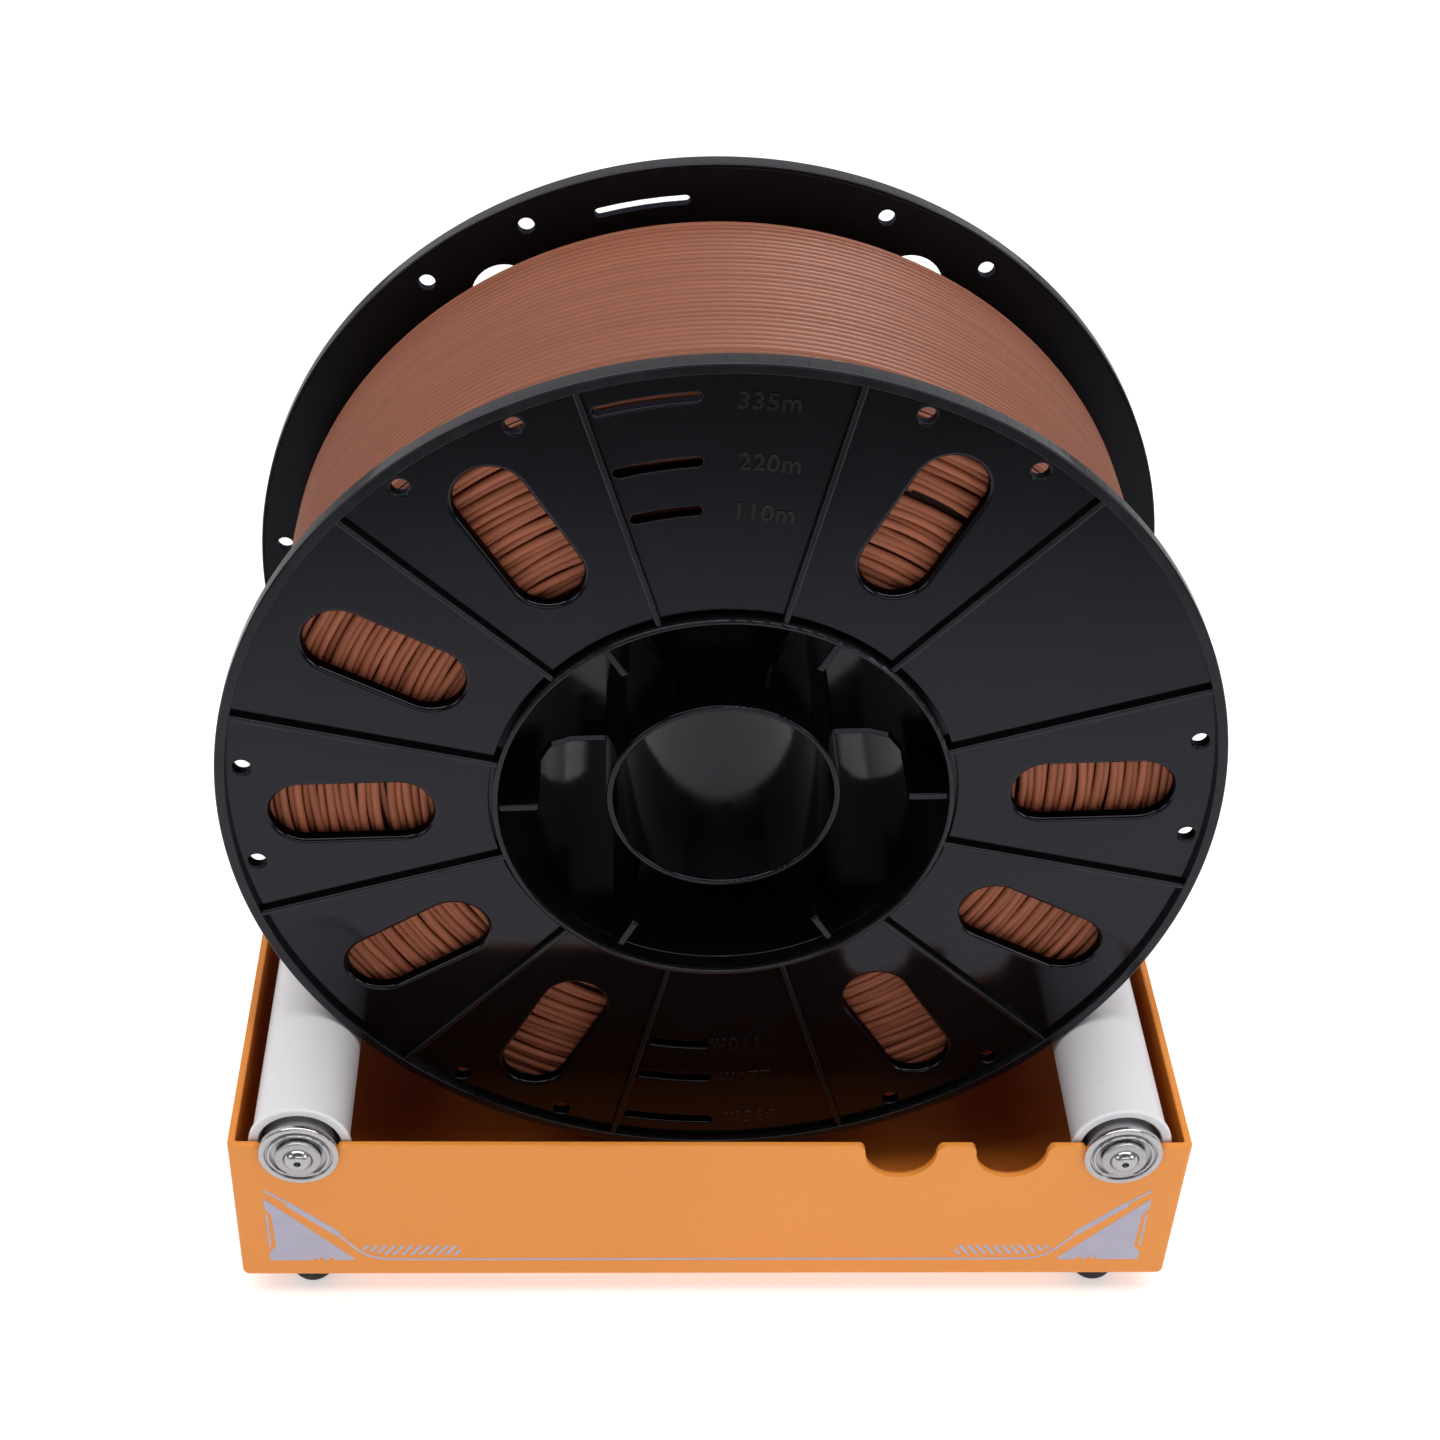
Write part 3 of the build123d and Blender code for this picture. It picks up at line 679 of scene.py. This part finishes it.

# the mass of strands under them: brown under the outer layer; its faces in the gaps of the sides are painted near
# black, standing in for the shade between the strands
R_UNDER = R_OUT - 0.00021
prof = [(0.05006, -Y_OUT + 0.0021), (R_OUT - 0.0026, -Y_OUT + 0.0021), (R_UNDER, -Y_OUT + 0.0034),
        (R_UNDER, Y_OUT - 0.0102), (R_UNDER - 0.0016, Y_OUT - 0.0068), (R_UNDER - 0.0042, Y_OUT - 0.0042),
        (R_OUT - 0.0116, Y_OUT - 0.0021), (0.05006, Y_OUT - 0.0021)]
v, fcs = turned_arrays(prof, 180, (REEL_X, REEL_Z))
core = mesh_object("wound_core", v, fcs, False)
core.data.materials.append(M_CORE_SHADE)
core.data.materials.append(M_FIL_UNDER)
for k, poly in enumerate(core.data.polygons):
    if k % len(prof) in (2, 3, 4):
        poly.material_index = 1
        poly.use_smooth = True
recalc(core)
for ob in [outer, core, *sides]:
    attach(ob, "reel")
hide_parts("wound_filament")

# ------------------------------------------------------------------ fine skins over the flange rims
flange_lo, flange_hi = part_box("reel_front_flange")
REEL_R = (flange_hi.x - flange_lo.x) / 2
RIM_Y = -flange_lo.y - 0.0005
for label, side in (("front", -1), ("rear", 1)):
    skin = 0.000012
    front = RIM_Y + skin
    inner = 0.0981 - skin
    big, small = 0.00042, 0.00020
    prof = [(REEL_R - 0.00040, RIM_Y - 0.00398), (REEL_R - 0.00012, RIM_Y - 0.0039), (REEL_R, RIM_Y - 0.0036)]
    for k in range(13):
        a_ = math.pi / 2 * k / 12
        prof.append((REEL_R - big + big * math.cos(a_), front - big + big * math.sin(a_)))
    for k in range(7):
        a_ = math.pi / 2 + math.pi / 2 * k / 6
        prof.append((inner + small + small * math.cos(a_), front - small + small * math.sin(a_)))
    prof += [(inner, RIM_Y - 0.0009), (inner + 0.0008, RIM_Y - 0.0009), (REEL_R - 0.0012, RIM_Y - 0.0020), (REEL_R - 0.0012, RIM_Y - 0.0039)]
    v, fcs = turned_arrays([(r_, side * y_) for r_, y_ in prof], 900, (REEL_X, REEL_Z))
    rim = mesh_object("%s_rim_skin" % label, v, fcs)
    recalc(rim)
    at = rim.modifiers.new("flat_faces_stay_flat", "WEIGHTED_NORMAL")
    at.mode = "FACE_AREA"
    at.weight = 50
    rim.data.materials.append(M_BLACK)
    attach(rim, "reel")

# ------------------------------------------------------------------ raised figures on the flanges
PLATE_Y = -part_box("reel_front_flange")[0].y - 0.0005 - 0.0016


def raised_figures(name, rows, side):
    """Moulded length figures, standing 0.2 mm proud of a flange's outer face. rows: (text, radius, angle, height)."""
    parts = []
    for text, radius, angle, height in rows:
        cu = bpy.data.curves.new("figures", "FONT")
        cu.body = text
        cu.size = height / 0.73
        cu.space_character = 1.06
        cu.align_x, cu.align_y = "CENTER", "CENTER"
        cu.resolution_u = 3
        cu.extrude = 0.00016
        cu.bevel_depth = 0.00006
        cu.bevel_resolution = 1
        ob = bpy.data.objects.new("figures", cu)
        bpy.context.scene.collection.objects.link(ob)
        bpy.context.view_layer.update()
        me = bpy.data.meshes.new_from_object(ob.evaluated_get(bpy.context.evaluated_depsgraph_get()))
        n_v = len(me.vertices)
        co = np.empty(n_v * 3)
        me.vertices.foreach_get("co", co)
        co = co.reshape(-1, 3)
        # text lies in (u, v); v points outwards along the radius, seen from outside the flange
        u, vv, w = co[:, 0], co[:, 1], co[:, 2]
        a_ = angle
        rx, rz = math.cos(a_), math.sin(a_)
        tx, tz = (rz, -rx) if side < 0 else (-rz, rx)
        x = REEL_X + rx * (radius + vv) + tx * u
        z = REEL_Z + rz * (radius + vv) + tz * u
        yy = side * (PLATE_Y + w)
        pts = np.stack([x, yy, z], 1)
        parts.append((pts, [tuple(p.vertices) for p in me.polygons]))
        bpy.data.objects.remove(ob)
        bpy.data.curves.remove(cu)
        bpy.data.meshes.remove(me)
    b_ = Batch()
    for pts, fcs_ in parts:
        b_.add(pts, fcs_)
    piece = b_.make(name, False)
    bm_ = bmesh.new()
    bm_.from_mesh(piece.data)
    bmesh.ops.remove_doubles(bm_, verts=bm_.verts, dist=2e-6)
    bmesh.ops.recalc_face_normals(bm_, faces=bm_.faces)
    bm_.to_mesh(piece.data)
    bm_.free()
    piece.data.materials.append(M_FIGURE)
    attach(piece, "reel")
    return piece


for label, side in (("front", -1), ("rear", 1)):
    rows = []
    for places in ((87.4, 86.5, 86.4), (276.1, 275.8, 274.7)):
        for text, radius, degrees in zip(("335m", "220m", "110m"), (0.0918, 0.0792, 0.0686), places):
            rows.append((text, radius, math.radians(degrees), 0.0036))
    raised_figures("%s_length_figures" % label, rows, side)

# ------------------------------------------------------------------ printed ornament on the front wall
tray_lo, tray_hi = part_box("tray")
FACE_Y = tray_lo.y


def strip(points, width):
    """The outline of a polyline of that width, mitred at its corners."""
    p = [Vector(q) for q in points]
    left, right = [], []
    for i, q in enumerate(p):
        a = (p[i] - p[i - 1]).normalized() if i else (p[1] - p[0]).normalized()
        b = (p[i + 1] - p[i]).normalized() if i < len(p) - 1 else a
        na, nb = Vector((-a.y, a.x)), Vector((-b.y, b.x))
        nn = (na + nb).normalized()
        k = width / 2 / max(0.4, nn.dot(na))
        left.append(q + nn * k)
        right.append(q - nn * k)
    return [tuple(q) for q in left + right[::-1]]


outlines = []


def both(pts_mm):
    """The outline and its mirror image across the middle of the wall."""
    outlines.append([(x * MM, z * MM) for x, z in pts_mm])
    outlines.append([(-x * MM, z * MM) for x, z in reversed(pts_mm)])


# corner triangle with a notch in its outer side and teeth along its foot
both([(-94.0, 31.3), (-76.1, 11.96), (-76.3, 11.4), (-80.2, 11.4), (-80.9, 12.5), (-81.7, 11.4), (-82.3, 11.4), (-83.0, 12.5),
      (-83.8, 11.4), (-84.2, 12.4), (-84.9, 11.4), (-94.0, 11.4), (-94.0, 14.0), (-92.5, 15.9), (-92.75, 26.1), (-94.0, 28.2)])
both([(-94.0, 16.2), (-93.5, 15.7), (-93.5, 26.0), (-94.0, 26.5)])
both(strip([(-93.65, 33.8), (-89.01, 29.865)], 0.62))
both(strip([(-89.15, 29.66), (-78.95, 19.87)], 1.45))
both(strip([(-79.03, 19.66), (-75.2, 14.75), (-73.4, 13.1), (-71.5, 12.2), (-69.0, 11.72), (-67.0, 11.65), (0.0, 11.65)], 0.60))
for k in range(12):
    x = -75.5 + k * 1.87
    low_z = 13.15 + (1.7 if k == 0 else 1.1 if k == 1 else 0.5 if k == 2 else 0.0)
    high_z = 16.25 - (1.5 if k == 11 else 0.0)
    slope = 2.1 / 3.1
    both([(x + (low_z - 13.15) * slope, low_z), (x + 0.85 + (low_z - 13.15) * slope, low_z),
          (x + 0.85 + (high_z - 13.15) * slope, high_z), (x + (high_z - 13.15) * slope, high_z)])
decal = slab("front_wall_print", outlines, FACE_Y + 0.00002, FACE_Y - 0.00004)
decal.data.materials.append(M_INK)
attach(decal, "base")

# ------------------------------------------------------------------ floor, world, lights
bm = bmesh.new()
bmesh.ops.create_grid(bm, x_segments=40, y_segments=40, size=4.0)
me = bpy.data.meshes.new("floor")
bm.to_mesh(me)
bm.free()
floor = bpy.data.objects.new("floor", me)
bpy.context.scene.collection.objects.link(floor)
fm = Mat("floor_paper")
fm.p.inputs["Specular IOR Level"].default_value = 0.05
paper = fm.ramp(fm.noise(3.0, 2.0, 0.5), [(0.3, (0.80, 0.80, 0.80)), (0.7, (0.815, 0.815, 0.815))])
# painted shade in reflections: for mirrored rays only, the floor is darkened and loses its glow, most of all far in
# front of the stand and behind it, standing in for a dim room
sep = fm.node("ShaderNodeSeparateXYZ")
fm.link(fm.co.outputs["Object"], sep.inputs[0])
fall = fm.node("ShaderNodeMapRange", interpolation_type="SMOOTHSTEP")
fm.link(sep.outputs[1], fall.inputs["Value"])
for key, value in (("From Min", -0.40), ("From Max", -0.19), ("To Min", 0.95), ("To Max", 0.42)):
    fall.inputs[key].default_value = value
far = fm.node("ShaderNodeMapRange", interpolation_type="SMOOTHSTEP")
fm.link(sep.outputs[1], far.inputs["Value"])
for key, value in (("From Min", 0.02), ("From Max", 0.30), ("To Min", 0.0), ("To Max", 0.70)):
    far.inputs[key].default_value = value
path = fm.node("ShaderNodeLightPath")
shade = fm.math("MULTIPLY", fm.math("MAXIMUM", fall.outputs[0], far.outputs[0]), path.outputs["Is Glossy Ray"])
fm.base(fm.mix(shade, paper, (0.05, 0.05, 0.055)))
glow = fm.mix(shade, (0.5, 0.5, 0.5), (0.0, 0.0, 0.0))
fm.link(glow, fm.p.inputs["Emission Color"])
fm.p.inputs["Emission Strength"].default_value = 1.0
fm.rough(fm.remap(fm.noise(40.0, 2.0, 0.5), 0.85, 0.95, 0.3, 0.7))
me.materials.append(fm.m)

world = bpy.data.worlds.new("studio")
bpy.context.scene.world = world
world.use_nodes = True
wt = world.node_tree
wt.nodes.clear()


def wnode(kind, **props):
    n_ = wt.nodes.new(kind)
    for k_, v_ in props.items():
        setattr(n_, k_, v_)
    return n_


def wrange(source, f0, f1, t0, t1):
    n_ = wnode("ShaderNodeMapRange", interpolation_type="SMOOTHSTEP")
    for key_, value_ in (("From Min", f0), ("From Max", f1), ("To Min", t0), ("To Max", t1)):
        n_.inputs[key_].default_value = value_
    wt.links.new(source, n_.inputs["Value"])
    return n_.outputs[0]


wo = wnode("ShaderNodeOutputWorld")
bg = wnode("ShaderNodeBackground")
wt.links.new(bg.outputs[0], wo.inputs[0])
tc = wnode("ShaderNodeTexCoord")
sp = wnode("ShaderNodeSeparateXYZ")
wt.links.new(tc.outputs["Generated"], sp.inputs[0])
# a pale backdrop behind, and a dim room in front and above
behind = wrange(sp.outputs[1], -0.15, 0.55, 0.0, 1.0)
low_part = wrange(sp.outputs[2], 0.62, 0.95, 1.0, 0.15)
both_ = wnode("ShaderNodeMath", operation="MULTIPLY")
wt.links.new(behind, both_.inputs[0])
wt.links.new(low_part, both_.inputs[1])
level = wrange(both_.outputs[0], 0.0, 1.0, WORLD_DIM, WORLD_BACK)
cc = wnode("ShaderNodeCombineColor")
for i in range(3):
    wt.links.new(level, cc.inputs[i])
wt.links.new(cc.outputs[0], bg.inputs["Color"])
bg.inputs["Strength"].default_value = 1.0


def area(name, location, target, size_x, size_y, radiance, spread=180.0, colour=(1, 1, 1)):
    li = bpy.data.lights.new(name, "AREA")
    li.shape = "RECTANGLE"
    li.size, li.size_y = size_x, size_y
    li.energy = radiance * math.pi * size_x * size_y
    li.color = colour
    li.spread = math.radians(spread)
    ob = bpy.data.objects.new(name, li)
    bpy.context.scene.collection.objects.link(ob)
    ob.location = location
    ob.rotation_mode = "QUATERNION"
    ob.rotation_quaternion = (Vector(target) - Vector(location)).to_track_quat("-Z", "Y")
    return ob


area("top_left_softbox", (-0.50, -0.06, 1.22), (-0.25, 0.0, 0.0), 0.84, 1.10, 3.0)
area("top_right_softbox", (0.50, -0.06, 1.22), (0.25, 0.0, 0.0), 0.84, 1.10, 3.0)
area("right_softbox", (1.10, -0.80, 0.46), (0.0, -0.02, 0.07), 0.6, 0.5, 2.4)
area("left_softbox", (-1.10, -0.80, 0.46), (0.0, -0.02, 0.07), 0.6, 0.5, 1.5)
area("front_softbox", (0.15, -1.50, 0.36), (0.0, 0.0, 0.05), 1.2, 0.4, 1.6)
# a gloss light behind, for the winding's outer layer only: it draws the broad highlight right of its middle
rear = area("rear_softbox", (0.40, 1.05, 0.84), (0.03, 0.0, 0.20), 0.50, 0.40, 10.0)
rear.visible_diffuse = False
rear.visible_camera = False
lit = bpy.data.collections.new("lit_by_rear_softbox")
lit.objects.link(outer)
rear.light_linking.receiver_collection = lit

sc = bpy.context.scene
sc.view_settings.view_transform = "Standard"
sc.view_settings.look = "None"
sc.view_settings.exposure = 0.0
sc.view_settings.gamma = 1.0
